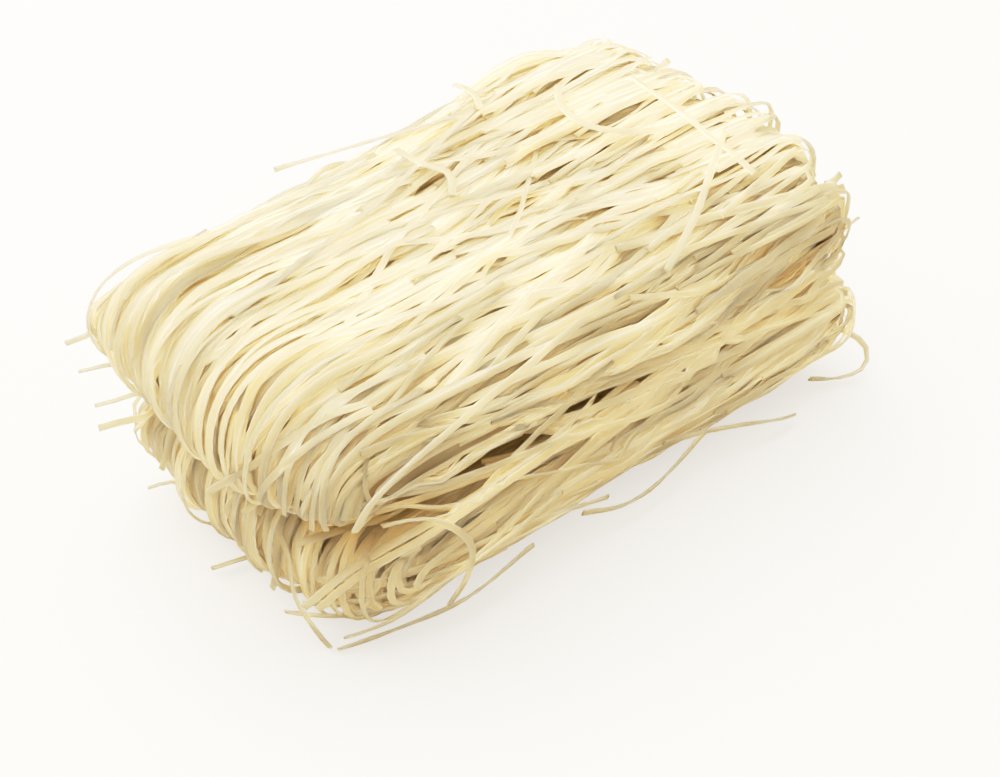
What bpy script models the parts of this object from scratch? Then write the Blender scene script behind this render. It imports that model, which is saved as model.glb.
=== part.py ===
"""Block of dried rice vermicelli: a flat hank of noodles folded back on itself into two stacked pillows.

Each pillow is a sleeve of strands that run along the block and turn over at its ends. A flat grid is rolled
into that sleeve. Its columns go once round a strand's loop: along the top, round the fold, back underneath and
round the far end. Its rows go across the hank, from the seam on the front side, over the top, to the seam on
the back side. Units are metres, +Z is up, and the origin is the middle of the base.
"""
import math

import bmesh
import bpy
from mathutils import Vector

MM = 0.001

# The block's driving sizes.
UPPER_LENGTH = 200 * MM
WIDTH = 107 * MM
PILLOW_HEIGHT = 44 * MM
FOLD_STEP = 12 * MM  # the lower fold starts this far behind the upper one
TAIL_STEP = 8 * MM  # and the lower far end reaches this far past the upper one
LOWER_LENGTH = UPPER_LENGTH - FOLD_STEP + TAIL_STEP
CREASE_BITE = 7 * MM  # how deep the two pillows have settled into each other
BASE_PRESS = 1.2 * MM  # how much of the underside is pressed flat
PRESS_SPREAD = 1.5  # how far down the sides a pressed face stays smooth

# The cross-section and the ends.
SQUARENESS = 3.4  # exponent of the cross-section: 2 is an ellipse, and more is squarer
FOLD_ROUNDNESS = 2.3  # the same for the fold seen from the side
TAIL_ROUNDNESS = 3.0  # the cut far end is blunter than the fold
SEAM_REACH = 0.4  # the share of a turn's reach that is left at the side seams
CORNER_ROUNDNESS = 2.5  # exponent of the corners seen from above
FOLD_SETBACKS = (18 * MM, 6 * MM)  # how far the fold's corners draw back, at the front and at the back
TAIL_SETBACKS = (0 * MM, 6 * MM)  # the same at the far end

# The surface: low swells, and ridges where strands have dried together in bundles.
SWELL = 1.3 * MM
SWELL_LENGTH = 74 * MM
BACK_HUMP = 2.2 * MM
RIDGE = 0.8 * MM
RIDGE_WIDTH = 9 * MM
RIDGE_DRIFT = 2.6  # how far the ridges wander sideways along the block, in radians

# How finely the faces follow the shape.
ARM_STEPS = 11
TURN_STEPS = 7
ROW_STEPS = 62
FINE_STEPS = 2000
WELD = 1e-6

NOODLE_COLOUR = (0.86, 0.78, 0.58, 1.0)
NOODLE_ROUGHNESS = 0.45


def signed_power(value, power):
    """value to a power, keeping its sign."""
    return math.copysign(abs(value) ** power, value)


def cross_section(half_width, half_height):
    """Half of a pillow's cross-section at even steps: (y, lift, y normal, lift normal, distance along it)."""
    power = 2 / SQUARENESS
    fine = []
    for i in range(FINE_STEPS + 1):
        angle = math.pi * (i / FINE_STEPS - 0.5)
        y = half_width * signed_power(math.sin(angle), power)
        lift = half_height * abs(math.cos(angle)) ** power
        fine.append((y, lift))
    along = [0.0]
    for before, after in zip(fine, fine[1:]):
        along.append(along[-1] + math.dist(before, after))
    rows = []
    i = 0
    for row in range(ROW_STEPS + 1):
        wanted = along[-1] * row / ROW_STEPS
        while i < FINE_STEPS - 1 and along[i + 1] < wanted:
            i += 1
        share = (wanted - along[i]) / (along[i + 1] - along[i])
        y = fine[i][0] + share * (fine[i + 1][0] - fine[i][0])
        lift = fine[i][1] + share * (fine[i + 1][1] - fine[i][1])
        lift = 0.0 if row in (0, ROW_STEPS) else lift
        y_slope = signed_power(y / half_width, SQUARENESS - 1) / half_width
        lift_slope = (lift / half_height) ** (SQUARENESS - 1) / half_height
        steep = math.hypot(y_slope, lift_slope)
        rows.append((y, lift, y_slope / steep, lift_slope / steep, wanted - along[-1] / 2))
    return rows


def loop_columns():
    """The columns of one strand's loop: (which of its four stretches, how far along that stretch)."""
    columns = []
    for stretch, steps in enumerate((ARM_STEPS, TURN_STEPS, ARM_STEPS, TURN_STEPS)):
        columns += [(stretch, i / steps) for i in range(steps)]
    return columns + [(0, 0.0)]


def setback(setbacks, y):
    """How far the outline seen from above has drawn back at y: the front's value at -Y, the back's at +Y."""
    return setbacks[0 if y < 0 else 1] * abs(2 * y / WIDTH) ** CORNER_ROUNDNESS


def swell_at(x, y, z, phase):
    """The low, slow unevenness of a hand-folded hank."""
    wave = math.tau / SWELL_LENGTH
    hills = math.sin(wave * x + phase) * math.cos(0.8 * wave * y - phase)
    hills += 0.6 * math.sin(1.7 * wave * (x - 0.5 * y) + 2 * phase) * math.cos(wave * z + phase)
    return SWELL * hills


def pillow(name, x_fold, length, z_low, z_high, phase, uneven_top, hump):
    """One pillow of the folded hank. uneven_top is 0 where another pillow presses its top smooth."""
    half_height = (z_high - z_low) / 2
    z_middle = (z_high + z_low) / 2
    rows = cross_section(WIDTH / 2, half_height)
    columns = loop_columns()

    def place(column, row):
        """A grid corner's place on the sleeve."""
        stretch, share = columns[column]
        y, lift, y_normal, lift_normal, across = rows[row]
        fullness = lift / half_height
        reach = half_height * (SEAM_REACH + (1 - SEAM_REACH) * fullness)
        x_near = x_fold + setback(FOLD_SETBACKS, y) + reach
        x_far = x_fold + length - setback(TAIL_SETBACKS, y) - reach
        if stretch in (0, 2):
            run = share if stretch == 2 else 1 - share
            turn_x, turn_z = 0.0, 1 - stretch
            x = x_near + run * (x_far - x_near)
        else:
            end = -1 if stretch == 1 else 1
            roundness = FOLD_ROUNDNESS if stretch == 1 else TAIL_ROUNDNESS
            angle = math.pi * share if stretch == 1 else math.pi * (1 - share)
            turn_x = end * math.sin(angle) ** (2 / roundness)
            turn_z = signed_power(math.cos(angle), 2 / roundness)
            x = (x_near if stretch == 1 else x_far) + reach * turn_x
        z = z_middle + lift * turn_z
        drift = RIDGE_DRIFT * math.sin(9 * x / length + phase)
        ridge = RIDGE * math.cos(math.tau * across / RIDGE_WIDTH + drift)
        pressed = -turn_z if turn_z < 0 else (1 - uneven_top) * turn_z
        pressed *= min(1.0, fullness * PRESS_SPREAD)
        crown = hump * max(0.0, turn_z) * fullness * (0.5 + y / WIDTH)
        crown *= math.exp(-(((x - x_fold - 0.3 * length) / (0.3 * length)) ** 2))
        out = (ridge + swell_at(x, y, z, phase)) * (1 - pressed) + crown
        outward = Vector((turn_x * lift_normal, y_normal, turn_z * lift_normal))
        at = Vector((x, y, z)) + out * outward.normalized()
        return Vector((at.x, at.y, max(at.z, 0.0)))

    bm = bmesh.new()
    bmesh.ops.create_grid(bm, x_segments=len(columns) - 1, y_segments=ROW_STEPS, size=0.5)
    for corner in bm.verts:
        column = round((corner.co.x + 0.5) * (len(columns) - 1))
        row = round((corner.co.y + 0.5) * ROW_STEPS)
        corner.co = place(column, row)
    bmesh.ops.remove_doubles(bm, verts=bm.verts, dist=WELD)
    bmesh.ops.recalc_face_normals(bm, faces=bm.faces)
    mesh = bpy.data.meshes.new(name)
    bm.to_mesh(mesh)
    bm.free()
    return bpy.data.objects.new(name, mesh)


def noodle_material():
    """Dried rice noodle: a cream, slightly glossy starch."""
    material = bpy.data.materials.new("dried_noodle")
    material.use_nodes = True
    shader = material.node_tree.nodes["Principled BSDF"]
    shader.inputs["Base Color"].default_value = NOODLE_COLOUR
    shader.inputs["Roughness"].default_value = NOODLE_ROUGHNESS
    shader.inputs["Metallic"].default_value = 0.0
    return material


def new_collection(name):
    """An empty collection in the scene."""
    made = bpy.data.collections.new(name)
    bpy.context.scene.collection.children.link(made)
    return made


def build():
    """The whole block: two pillows, joined where they touch and centred on the origin."""
    for old in list(bpy.data.objects):
        bpy.data.objects.remove(old)
    block = new_collection("rice_vermicelli_block")
    helpers = new_collection("helpers")

    crease = PILLOW_HEIGHT
    upper = pillow(
        "noodle_block",
        x_fold=0.0,
        length=UPPER_LENGTH,
        z_low=crease - CREASE_BITE / 2,
        z_high=crease + PILLOW_HEIGHT,
        phase=0.4,
        uneven_top=1,
        hump=BACK_HUMP,
    )
    lower = pillow(
        "lower_pillow",
        x_fold=FOLD_STEP,
        length=LOWER_LENGTH,
        z_low=-BASE_PRESS,
        z_high=crease + CREASE_BITE / 2,
        phase=2.1,
        uneven_top=0,
        hump=0.0,
    )
    block.objects.link(upper)
    helpers.objects.link(lower)
    lower.hide_render = True
    lower.display_type = "WIRE"

    corners = [v.co for v in upper.data.vertices] + [v.co for v in lower.data.vertices]
    x_middle = (min(c.x for c in corners) + max(c.x for c in corners)) / 2
    y_middle = (min(c.y for c in corners) + max(c.y for c in corners)) / 2
    for pillow_object in (upper, lower):
        for v in pillow_object.data.vertices:
            v.co -= Vector((x_middle, y_middle, 0.0))

    join = upper.modifiers.new("join_pillows", "BOOLEAN")
    join.operation = "UNION"
    join.object = lower
    upper.data.shade_smooth()
    upper.data.materials.append(noodle_material())
    print("block centred by", round(x_middle / MM, 2), round(y_middle / MM, 2), "mm")


build()
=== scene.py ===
# %% [markdown]
# # A block of dried rice noodles
#
# The block is one long hank of flat rice noodles, folded back on itself while it was soft and left to
# dry. It lies as two pillows, one on the other. Each strand runs along the block, turns round the fold
# and comes back underneath. This lesson builds it strand by strand, each one laid on the ones already
# there.

import bpy
import numpy as np
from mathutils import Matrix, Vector
from mathutils.kdtree import KDTree


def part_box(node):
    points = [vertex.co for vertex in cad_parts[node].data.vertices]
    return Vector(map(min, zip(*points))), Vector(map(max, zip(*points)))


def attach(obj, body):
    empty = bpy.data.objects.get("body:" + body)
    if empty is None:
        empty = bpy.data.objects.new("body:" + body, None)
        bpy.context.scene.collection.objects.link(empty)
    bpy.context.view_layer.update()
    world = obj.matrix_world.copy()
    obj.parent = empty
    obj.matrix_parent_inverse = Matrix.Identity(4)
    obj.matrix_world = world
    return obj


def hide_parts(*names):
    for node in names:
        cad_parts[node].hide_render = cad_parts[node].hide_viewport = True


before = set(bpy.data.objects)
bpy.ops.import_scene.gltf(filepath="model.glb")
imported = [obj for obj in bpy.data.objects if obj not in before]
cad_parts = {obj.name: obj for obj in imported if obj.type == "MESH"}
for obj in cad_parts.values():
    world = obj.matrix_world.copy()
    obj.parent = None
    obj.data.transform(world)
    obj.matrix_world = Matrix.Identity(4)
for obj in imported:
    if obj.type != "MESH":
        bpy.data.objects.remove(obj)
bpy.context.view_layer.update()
MM = 0.001
low, high = (np.array(corner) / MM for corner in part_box("noodle_block"))
LENGTH, WIDTH, HEIGHT = high - low
print("the block is", np.round(high - low, 1), "mm")

# %% [markdown]
# ## Camera
#
# A product shot of food looks down from a front corner, here at 40 degrees, through a long lens, so that
# the far end is hardly smaller than the near one. The camera could be placed by eye, but angles and a
# distance written as numbers let the same shot be taken again.

# %% Camera
CAMERA_AZIMUTH = np.radians(-41.7)
CAMERA_HEIGHT_ANGLE = np.radians(40.0)
CAMERA_DISTANCE = 771
CAMERA_TARGET = np.array([-5.6, -14.8, 31.2])
CAMERA_LENS = 94.6
SENSOR_WIDTH = 36



def add_object(name, data):
    """A new object in the scene, at the origin."""
    made = bpy.data.objects.new(name, data)
    bpy.context.scene.collection.objects.link(made)
    return made


camera_data = bpy.data.cameras.new("camera")
camera = add_object("camera", camera_data)
camera_data.lens = CAMERA_LENS
camera_data.sensor_width = SENSOR_WIDTH
camera_data.clip_start = 0.01
towards_camera = np.array([
    np.sin(CAMERA_AZIMUTH) * np.cos(CAMERA_HEIGHT_ANGLE),
    -np.cos(CAMERA_AZIMUTH) * np.cos(CAMERA_HEIGHT_ANGLE),
    np.sin(CAMERA_HEIGHT_ANGLE),
])
camera.location = (CAMERA_TARGET + CAMERA_DISTANCE * towards_camera) * MM
camera.rotation_euler = (np.pi / 2 - CAMERA_HEIGHT_ANGLE, 0, CAMERA_AZIMUTH)
bpy.context.scene.camera = camera
print("camera at", np.round(camera.location, 3))

# %% [markdown]
# ## Floor
#
# Pale food stands on a white paper sweep. The sweep could be a curved sheet, but the camera never sees its
# far edge, so a large plane does. It glows a little for the camera only, as a retoucher would whiten it,
# so that it stays white without throwing a hard light up at the noodles.

# %% Floor
FLOOR_GLOW = 0.55


def plain_material(name, colour, roughness):
    """A Principled material with one colour all over."""
    made = bpy.data.materials.new(name)
    made.use_nodes = True
    shader = made.node_tree.nodes["Principled BSDF"]
    shader.inputs["Base Color"].default_value = (*colour, 1)
    shader.inputs["Roughness"].default_value = roughness
    return made


def arithmetic(tree, operation, *values):
    """A sum in a node tree. Each value is a number or another node's output."""
    node = tree.nodes.new("ShaderNodeMath")
    node.operation = operation
    for socket, value in zip(node.inputs, values):
        if isinstance(value, (int, float)):
            socket.default_value = value
        else:
            tree.links.new(value, socket)
    return node.outputs["Value"]


def white_floor():
    """White paper that the camera sees a little whiter than it is."""
    made = plain_material("white_floor", (0.76, 0.745, 0.71), 0.9)
    tree = made.node_tree
    shader = tree.nodes["Principled BSDF"]
    shader.inputs["Emission Color"].default_value = (1.0, 0.97, 0.92, 1)
    ray = tree.nodes.new("ShaderNodeLightPath")
    glow = arithmetic(tree, "MULTIPLY", ray.outputs["Is Camera Ray"], FLOOR_GLOW)
    tree.links.new(glow, shader.inputs["Emission Strength"])
    return made


bpy.ops.mesh.primitive_plane_add(size=8)
floor = bpy.context.object
floor.name = "floor"
floor.data.materials.append(white_floor())
print("floor", floor.dimensions.x, "m wide")

# %% [markdown]
# ## Light
#
# One broad soft light from above and behind makes pale strands glow at their edges and leaves faint warm
# shadows between them, and a very weak one stands at the right. The rest of the light comes from a sky
# that is bright overhead and dark at the horizon, like a studio ceiling, so that the gaps between the
# strands stay a little darker.

# %% Light
def area_light(name, place, target, size, power, colour):
    """A square soft light at place, in metres, turned towards target."""
    data = bpy.data.lights.new(name, "AREA")
    data.shape = "SQUARE"
    data.size = size
    data.energy = power
    data.color = colour
    light = add_object(name, data)
    light.location = place
    light.rotation_euler = (Vector(target) - Vector(place)).to_track_quat("-Z", "Y").to_euler()


def ceiling(colour, horizon, zenith, strength):
    """A sky that brightens from horizon to zenith, given as heights from 0 to 1, up to strength."""
    world = bpy.data.worlds.new("studio")
    bpy.context.scene.world = world
    world.use_nodes = True
    nodes, link = world.node_tree.nodes, world.node_tree.links.new
    background = nodes["Background"]
    background.inputs["Color"].default_value = (*colour, 1)
    direction = nodes.new("ShaderNodeTexCoord")
    height = nodes.new("ShaderNodeSeparateXYZ")
    brightness = nodes.new("ShaderNodeMapRange")
    brightness.inputs["From Min"].default_value = horizon
    brightness.inputs["From Max"].default_value = zenith
    brightness.inputs["To Max"].default_value = strength
    link(direction.outputs["Generated"], height.inputs["Vector"])
    link(height.outputs["Z"], brightness.inputs["Value"])
    link(brightness.outputs["Result"], background.inputs["Strength"])


area_light("key_light", (-0.1, 0.75, 1.2), (0, 0, 0.03), 2.3, 20.5, (1.0, 0.98, 0.945))
area_light("fill_light", (1.2, -0.6, 0.7), (0, 0, 0.05), 1.0, 0.5, (1.0, 0.98, 0.96))
ceiling((1.0, 0.95, 0.86), 0.25, 0.8, 0.9)
bpy.context.scene.cycles.diffuse_bounces = 8
print("two soft lights under a bright ceiling")

# %% [markdown]
# ## Film
#
# Film and print ease bright tones gently into white, where a plain view transform cuts them off. A curve
# in the colour management does the same. It also lifts the middle tones, by as much as 22%, and only the
# darkest ones are left alone. It belongs to this shot: in other light the noodles will look different.

# %% Film
WHITE_LEVEL = 2.2
SHOULDER = ((0.15, 0.16), (0.3, 0.36), (0.45, 0.55), (0.6, 0.69), (0.75, 0.785), (0.9, 0.85),
            (1.1, 0.92), (1.3, 0.97), (1.6, 0.998))

view = bpy.context.scene.view_settings
view.view_transform = "Standard"
view.use_curve_mapping = True
view.curve_mapping.white_level = (WHITE_LEVEL, WHITE_LEVEL, WHITE_LEVEL)
film = view.curve_mapping.curves[3]
film.points[1].location = (1.0, 1.0)
for light_in, light_out in SHOULDER:
    film.points.new(light_in / WHITE_LEVEL, light_out)
view.curve_mapping.update()
print("film curve through", len(film.points), "points")

# %% [markdown]
# ## The shape of a folded pillow
#
# A strand's way round a pillow is a closed loop: along the top, round the fold, back along the bottom, and
# round the far end. Loops side by side make a sleeve. Near the sides they shrink towards a seam, like the
# grain round a knot. The sleeve is kept as a grid: columns go round the loop, rows go across it. A box
# with a Subdivision Surface could have the same outline, but then no strand would know its column or row.

# %% Even steps, arches and quarter turns
COLUMN_STEP = 2.5
ROW_STEP = 1.6


def even(points, count):
    """The same path with its points spaced evenly."""
    steps = np.linalg.norm(np.diff(points, axis=0), axis=1)
    along = np.concatenate([[0], np.cumsum(steps)])
    wanted = np.linspace(0, along[-1], count)
    return np.stack([np.interp(wanted, along, values) for values in points.T], axis=1)


def arch(half_width, rise, power, count):
    """A squared-off arch from (-half_width, 0) over (0, rise) to (half_width, 0), as (across, up) points."""
    angle = np.linspace(-np.pi / 2, np.pi / 2, 3000)
    across = half_width * np.sign(np.sin(angle)) * np.abs(np.sin(angle)) ** (2 / power)
    up = rise * np.abs(np.cos(angle)) ** (2 / power)
    return even(np.stack([across, up], axis=1), count)


def quarter(start, corner_way, finish, power, count):
    """A quarter turn from start to finish whose first direction is corner_way, for every row at once."""
    angle = np.linspace(0, np.pi / 2, count)[:, None, None]
    ahead = np.sin(angle) ** (2 / power)
    aside = 1 - np.cos(angle) ** (2 / power)
    move = finish - start
    along = move * corner_way
    return start + ahead * along + aside * (move - along)


# %% Ends and stretches of a sleeve
ALONG_X = np.array([1.0, 0.0, 0.0])
INSET = 2.5
HALF = WIDTH / 2 - INSET


def tips(end, x_end, inwards, seam):
    """Where each row's loop turns, seen from above: a line across with rounded corners."""
    plan = arch(HALF, end["corner"], end["corner_power"], len(seam))
    share = plan[:, 0] / HALF * 0.5 + 0.5
    depth = end["corner"] * (end["front"] * (1 - share) + end["back"] * share)
    x = x_end + inwards * (depth * (1 - plan[:, 1] / end["corner"]) + end["slant"] * share)
    return np.stack([x, plan[:, 0], seam], axis=1)


def arm_end(tip, inwards, across, z, reach):
    """Where the straight ends and the turn begins. reach is the turn's length amid and at the sides."""
    middle = 1 - np.linspace(-1, 1, len(z)) ** 2
    x = tip[:, 0] + inwards * (reach[1] + (reach[0] - reach[1]) * middle)
    return np.stack([x, across, z], axis=1)


def straight(start, finish):
    """Columns from one row of points to another."""
    count = round(np.linalg.norm(start - finish, axis=1).mean() / COLUMN_STEP)
    return start + (finish - start) * np.linspace(0, 1, count)[:, None, None]


def turned(start, tip, power, backwards):
    """Columns round a quarter turn from the end of a straight to the tip, or backwards."""
    count = round(1.15 * np.linalg.norm(start - tip, axis=1).max() / COLUMN_STEP)
    columns = quarter(start, ALONG_X, tip, power, count)
    return columns[::-1] if backwards else columns


# %% The sleeve of one pillow
def sleeve(x_fold, x_tail, z_low, z_seam, z_high, bottom_power, top_power, fold, tail):
    """The pillow's outside as a grid of points [column, row, xyz], and the column where each stretch ends."""
    rows = round((WIDTH + z_high - z_low) / ROW_STEP)
    top = arch(HALF, z_high - sum(z_seam) / 2, top_power, rows)
    bottom = arch(HALF, sum(z_seam) / 2 - z_low, bottom_power, rows)
    seam = z_seam[0] + (z_seam[1] - z_seam[0]) * (top[:, 0] / HALF * 0.5 + 0.5)
    top_z = seam + top[:, 1] / top[:, 1].max() * (z_high - seam)
    bottom_z = seam - bottom[:, 1] / bottom[:, 1].max() * (seam - z_low)
    fold_tip = tips(fold, x_fold, 1, seam)
    tail_tip = tips(tail, x_tail, -1, seam)
    top_fold = arm_end(fold_tip, 1, top[:, 0], top_z, fold["top_reach"])
    bottom_fold = arm_end(fold_tip, 1, bottom[:, 0], bottom_z, fold["bottom_reach"])
    top_tail = arm_end(tail_tip, -1, top[:, 0], top_z, tail["top_reach"])
    bottom_tail = arm_end(tail_tip, -1, bottom[:, 0], bottom_z, tail["bottom_reach"])
    stretches = [
        straight(top_tail, top_fold),
        turned(top_fold, fold_tip, fold["power"], False),
        turned(bottom_fold, fold_tip, fold["power"], True),
        straight(bottom_fold, bottom_tail),
        turned(bottom_tail, tail_tip, tail["power"], False),
        turned(top_tail, tail_tip, tail["power"], True),
    ]
    grid = np.concatenate([stretch[:-1] for stretch in stretches])
    ends = np.cumsum([len(stretch) - 1 for stretch in stretches])
    return grid, ends


# %% [markdown]
# ## The sizes of both pillows
#
# The upper pillow is the fuller one, and the lower one is pressed flatter by its weight. Each has a round
# fold at one end and a squarer tail at the other. All sizes are in mm, and a power above 2 makes a curve
# boxier than a circle.

# %% The sizes of both pillows
UPPER = dict(
    x_fold=low[0] + 3, x_tail=high[0] - 3, z_low=0.495 * HEIGHT, z_high=HEIGHT - 4,
    z_seam=(0.63 * HEIGHT, 0.72 * HEIGHT), bottom_power=2.3, top_power=3.2,
    fold=dict(corner=24, corner_power=3.0, front=1.0, back=0.2, slant=0, power=2.3,
              top_reach=(28, 20), bottom_reach=(14, 8)),
    tail=dict(corner=12, corner_power=3.6, front=0.3, back=1.0, slant=9, power=2.5,
              top_reach=(18, 10), bottom_reach=(12, 6)),
)
LOWER = dict(
    x_fold=low[0] + 12, x_tail=high[0] + 2, z_low=2.0, z_high=0.48 * HEIGHT,
    z_seam=(0.27 * HEIGHT, 0.27 * HEIGHT), bottom_power=2.8, top_power=2.4,
    fold=dict(corner=24, corner_power=3.0, front=1.0, back=0.3, slant=0, power=2.3,
              top_reach=(24, 14), bottom_reach=(26, 16)),
    tail=dict(corner=12, corner_power=3.6, front=0.3, back=1.0, slant=4, power=2.6,
              top_reach=(16, 10), bottom_reach=(16, 10)),
)
upper_grid, upper_ends = sleeve(**UPPER)
lower_grid, lower_ends = sleeve(**LOWER)
print("upper sleeve", upper_grid.shape, "lower sleeve", lower_grid.shape)

# %% [markdown]
# ## Reading a sleeve
#
# A strand runs between the grid's points, so it needs places and normals there too. A Shrinkwrap modifier
# could find them for one strand at a time. Mixing the four nearest points does it for thousands at once.

# %% Reading a sleeve
def outward(grid):
    """Unit normals of a sleeve, pointing out of the pillow."""
    along = np.roll(grid, -1, axis=0) - np.roll(grid, 1, axis=0)
    across = np.gradient(grid, axis=1)
    normal = np.cross(across, along)
    normal /= np.maximum(np.linalg.norm(normal, axis=2, keepdims=True), 1e-9)
    if ((grid - grid.mean(axis=(0, 1))) * normal).sum() < 0:
        normal = -normal
    return normal


def read(grid, column, row):
    """A grid's values at fractional columns, which wrap round, and rows, which stop at the seams."""
    columns, rows = grid.shape[:2]
    row = np.clip(row, 0, rows - 1.001)
    first, below = np.floor(column).astype(int), np.floor(row).astype(int)
    ahead, aside = (column - first)[..., None], (row - below)[..., None]
    first %= columns
    second = (first + 1) % columns
    near = grid[first, below] * (1 - ahead) + grid[second, below] * ahead
    far = grid[first, below + 1] * (1 - ahead) + grid[second, below + 1] * ahead
    return near * (1 - aside) + far * aside


def smooth(values, times):
    """Values along a strand, each averaged with its neighbours."""
    for _ in range(times):
        padded = np.concatenate([values[:1], values, values[-1:]])
        values = (padded[:-2] + 2 * padded[1:-1] + padded[2:]) / 4
    return values


def unit(vectors):
    """The same directions with length 1."""
    return vectors / np.maximum(np.linalg.norm(vectors, axis=-1, keepdims=True), 1e-9)


print("middle of the upper pillow's top:", np.round(read(upper_grid, upper_ends[0] / 2, 30.0), 1))

# %% [markdown]
# ## A pile to lay strands on
#
# A simulation could drop real strands on each other, but slowly and with little say in the result. Here
# a pile is a map of heights over the sleeve, like snow on a roof. It starts as bare ground a little
# inside the pillow, and rises wherever a strand is laid.

# %% A bare pile
FINE = 2
NOODLE_WIDTH = 1.9
NOODLE_THICKNESS = 0.75
NARROWEST, WIDEST = 1.4, 2.8
DEPTH = 6.5
SEAM_RAMP = 14
UNEVEN_GROUND = 0.6


def strand_widths(rng, count=None):
    """Widths as uneven as the cutter leaves them."""
    return np.clip(rng.normal(NOODLE_WIDTH, 0.3, count), NARROWEST, WIDEST)


def new_pile(grid, ends, seed, looseness):
    """A bare pillow that strands can be laid on. Its ground starts DEPTH mm inside the sleeve."""
    rng = np.random.default_rng(seed)
    columns, rows = grid.shape[:2]
    spread = np.linalg.norm(np.gradient(grid, axis=1), axis=2)[..., None]
    normals = outward(grid)
    c, r = np.meshgrid(np.arange(columns * FINE) / FINE, np.arange(rows * FINE) / FINE, indexing="ij")
    from_seam = np.minimum(r, rows - 1 - r) * ROW_STEP
    ground = -DEPTH * np.clip(0.3 + from_seam / SEAM_RAMP, 0, 1)
    for waves_round, waves_across in ((2, 1.5), (5, 2.5), (9, 5)):
        phase = rng.uniform(0, 2 * np.pi, 2)
        round_it = np.sin(2 * np.pi * waves_round * c / columns + phase[0])
        across_it = np.cos(2 * np.pi * waves_across * r / rows + phase[1])
        ground += UNEVEN_GROUND * round_it * across_it
    pile = dict(points=grid, normals=normals, spread=spread, ends=ends, ground=ground, rng=rng, strands=[])
    pile.update(looseness=looseness, fine_points=read(grid, c, r), fine_normals=read(normals, c, r))
    return pile


upper = new_pile(upper_grid, upper_ends, seed=5, looseness=1.0)
lower = new_pile(lower_grid, lower_ends, seed=8, looseness=1.5)
print("two bare piles, each a map of", upper["ground"].shape, "and", lower["ground"].shape, "heights")

# %% [markdown]
# ## How a stiff strand comes to rest
#
# A soaked noodle is limp but not liquid: it rests on the higher strands under it, tilts with them, and
# bridges the hollows between. Averaging along the strand, and lifting it again wherever it sinks, gives a
# curve that looks stiff enough, with hardly any work. It isn't exact: a strand can still cut into single
# strands that stand higher, and here about a seventh of the seen length does. A simulation of thin rods
# would keep them apart, but takes far longer.

# %% A strand comes to rest
ACROSS = np.linspace(-0.5, 0.5, 7)
STIFFNESS = 10
STEEPEST = 0.35
SINK = 0.6
AFLOAT = 0.7
LEAST_SPREAD = 0.25
RESTS_ON = 75
UNEVENNESS = 0.9


def row_spread(pile, column, row):
    """How far apart the sleeve's rows lie, in mm. They draw together towards the seams."""
    return np.maximum(read(pile["spread"], column, row)[..., 0], LEAST_SPREAD)


def under(pile, column, row, width):
    """The ground under a strand's width, and where in the ground's grid that is."""
    rows = pile["ground"].shape[1]
    spread = row_spread(pile, column, row)
    fine_row = np.rint((row[..., None] + ACROSS * width / spread[..., None]) * FINE).astype(int)
    fine_row = np.clip(fine_row, 0, rows - 1)
    fine_column = np.rint(column * FINE).astype(int)[..., None] % pile["ground"].shape[0]
    return pile["ground"][fine_column, fine_row], fine_column, fine_row


def settle(need, stiffness):
    """The height of a stiff strand that rests on the needed heights and bridges the hollows between."""
    level = need
    for _ in range(stiffness):
        level = np.maximum(need, smooth(level, 2))
    return smooth(level, 3)


def tilt_on(ground, offset, roll):
    """How steeply a strand leans sideways on the ground under it, with some roll of its own."""
    slope = np.clip(ground @ offset / (offset @ offset), -STEEPEST, STEEPEST)
    return smooth(slope, 10) + roll


def rest_on(ground, offset, tilt):
    """The height that a tilted strand needs: that of the highest quarter of what lies under its width."""
    return np.percentile(ground - tilt[:, None] * offset, RESTS_ON, axis=1)


def lay(pile, column, row, width, thickness, roll, extra):
    """Lays a strand along a path: its middle's height above the sleeve, and its sideways tilt."""
    ground, fine_column, fine_row = under(pile, column, row, width)
    offset = ACROSS * width
    tilt = tilt_on(ground, offset, roll)
    need = rest_on(ground, offset, tilt)
    level = settle(need, STIFFNESS)
    surface = level[:, None] + tilt[:, None] * offset + SINK * thickness
    resting = (extra < AFLOAT)[:, None]
    now = pile["ground"][fine_column, fine_row]
    pile["ground"][fine_column, fine_row] = np.where(resting, np.maximum(now, surface), now)
    return level + thickness / 2 + extra, tilt


over_a_step = settle(np.repeat([0.0, 2.0, 0.0], 9), STIFFNESS)
print("a strand over a step 2 mm high lies at", np.round(over_a_step[::4], 1), "mm")

# %% [markdown]
# ## Where a strand goes
#
# Strands leave the cutter in bunches of one to three and wander sideways on their way round, most of them
# only a little. Each bunch is tried at two dozen places, and lands where the ground is lowest and
# flattest, as it would slide into a hollow by itself. Chance alone would leave heaps and holes.

# %% Where a strand goes
ROW_MARGIN = 5.5
TRIES = 24


def wave(rng, size, distance, length):
    """A sideways wave of random size, length and phase."""
    height = rng.normal(0, size)
    turns = distance / rng.uniform(*length)
    return height * np.sin(2 * np.pi * turns + rng.uniform(0, 6.3))


def wander(rng, distance, looseness):
    """How far a strand wanders sideways along its length, in mm."""
    slope = rng.normal(0, looseness)
    long_wave = wave(rng, 36 * looseness, distance, (120, 260))
    short_wave = wave(rng, 5 * looseness, distance, (50, 90))
    return slope * (distance - distance.mean()) + long_wave + short_wave


def flow(pile, column, row):
    """The slow sideways drift that neighbouring strands share, in mm."""
    columns, rows = pile["points"].shape[:2]
    turn = 2 * np.pi * column / columns
    return 2.2 * np.sin(2 * turn + 3 * row / rows) + 1.2 * np.sin(5 * turn - 5 * row / rows + 1)


def low_and_flat(ground):
    """A score that is lowest where the ground is lowest and flattest."""
    return ground.mean() + UNEVENNESS * ground.std()


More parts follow.
